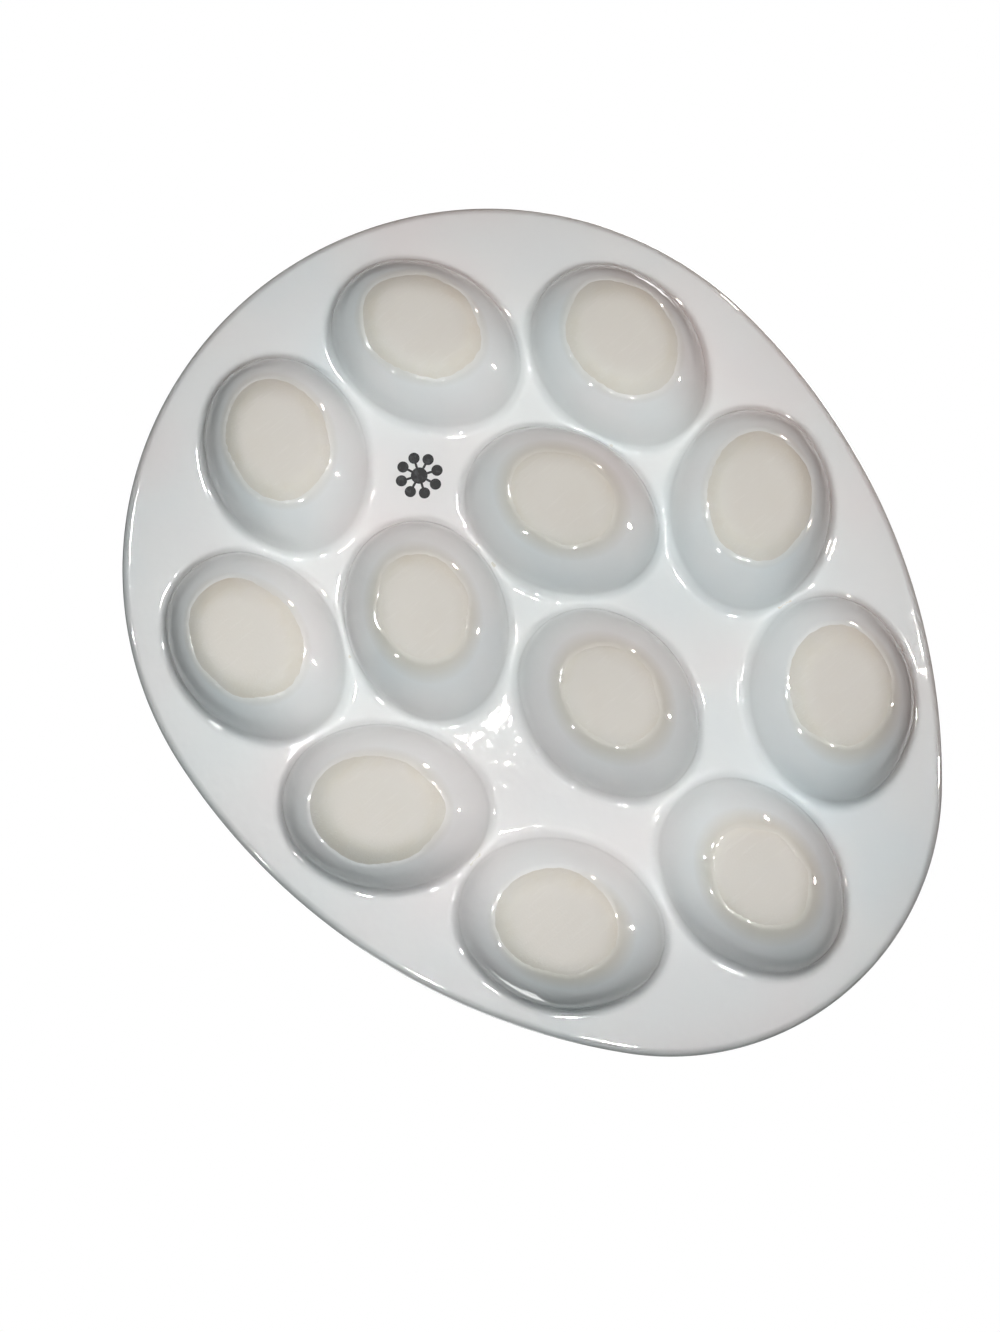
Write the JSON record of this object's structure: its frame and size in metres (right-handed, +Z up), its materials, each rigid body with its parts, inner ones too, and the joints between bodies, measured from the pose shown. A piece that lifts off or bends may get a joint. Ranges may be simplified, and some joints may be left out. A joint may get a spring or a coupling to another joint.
{
  "type": "deviled egg platter",
  "caption": "Egg-shaped glazed porcelain platter with egg-shaped wells for halved eggs, on bare feet under the wells, with a small printed rosette underneath.",
  "frame": {"origin": "On the table, under the middle of the platter's length and width: halfway between the broad end's and the small end's tips, on the mirror plane", "axes": "+Z up, out of the wells' mouths; +Y towards the platter's broad end; +X to the right, looking down with the broad end away"},
  "size_m": [0.2454, 0.3056, 0.0273],
  "materials": {
    "bare_porcelain": "matt cream porcelain body, bare where the feet are wiped",
    "white_glaze": "clear glossy glaze that shows the white body",
    "dark_print": "fired dark grey printing"
  },
  "bodies": {
    "root": {"fired_body": "bare_porcelain", "glaze_coat": "white_glaze", "printed_rosette": "dark_print"}
  },
  "joints": []
}
